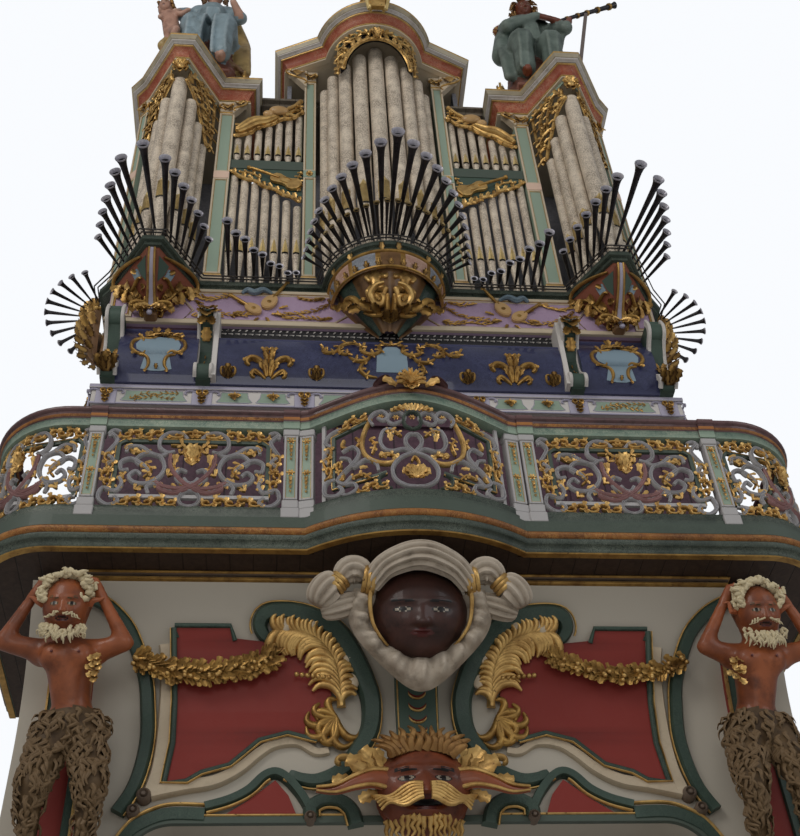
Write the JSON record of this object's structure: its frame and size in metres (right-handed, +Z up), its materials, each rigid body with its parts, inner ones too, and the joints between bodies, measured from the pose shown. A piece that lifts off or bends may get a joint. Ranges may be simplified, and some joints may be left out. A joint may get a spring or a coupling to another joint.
{
  "type": "baroque church pipe organ on a gallery",
  "caption": "Painted and gilt pipe organ with fans of horizontal trumpets, standing on a bowed gallery over a coved, arched stage with masks and satyrs.",
  "frame": {"origin": "centre of the footprint's box on the ground", "axes": "+X to the right seen from the front, -Y towards the front, +Z up"},
  "size_m": [7.9, 3.39, 14.4094],
  "materials": {
    "white_ground": "aged white paint on boards and plaster",
    "gilding": "water gilding on carved wood, worn",
    "green_marble": "green marbled paint",
    "red_marble": "red marbled paint",
    "mask_paint": "painted wood, white scarf and brown face",
    "skin_paint": "painted carved wood",
    "brown_boards": "dark brown boards",
    "grey_paint": "grey and white paint on carved wood",
    "brown_rail": "brown and green painted moulding",
    "purple_boards": "purple brown painted boards",
    "teal_paint": "pale teal marbled paint with cream edges",
    "blue_lacquer": "dark blue lacquer",
    "purple_marble": "pink and purple marbled paint",
    "cornice_marble": "red, cream and brown painted mouldings",
    "pipe_tin": "mottled grey tin and lead",
    "trumpet_metal": "dark pipe metal",
    "rack_iron": "dark iron rod",
    "robe_paint": "painted robes on carved wood"
  },
  "bodies": {
    "root": {"base_vault": "white_ground", "base_cornice": "gilding", "arch_band": "green_marble", "red_panels": "red_marble", "scroll_frames": "green_marble", "keystone_spine": "green_marble", "turban_mask": "mask_paint", "grotesque_mask": "skin_paint", "garlands": "gilding", "satyr_left": "skin_paint", "satyr_right": "skin_paint", "gallery_soffit": "brown_boards", "gallery_lower_mould": "green_marble", "gallery_gold_mould": "gilding", "gallery_floor": "green_marble", "balustrade_posts": "grey_paint", "balustrade_centre": "grey_paint", "balustrade_left": "grey_paint", "balustrade_right": "grey_paint", "balustrade_ends": "grey_paint", "handrail": "brown_rail", "rail_shell": "gilding", "lower_case": "purple_boards", "case_band": "teal_paint", "blue_panels": "blue_lacquer", "console_brackets": "green_marble", "frieze": "purple_marble", "toe_boards": "green_marble", "corbel_centre": "gilding", "corbels_side": "gilding", "pilasters": "teal_paint", "case_walls": "purple_boards", "case_roof": "brown_boards", "cornices": "cornice_marble", "pipe_shades": "gilding", "pipes_centre": "pipe_tin", "pipes_tower": "pipe_tin", "pipes_flat": "pipe_tin", "trumpets_centre": "trumpet_metal", "trumpets_tower": "trumpet_metal", "trumpets_flat": "trumpet_metal", "trumpets_side": "trumpet_metal", "trumpet_racks": "rack_iron", "statue_left": "robe_paint", "statue_right": "robe_paint", "crest": "gilding"}
  },
  "joints": []
}
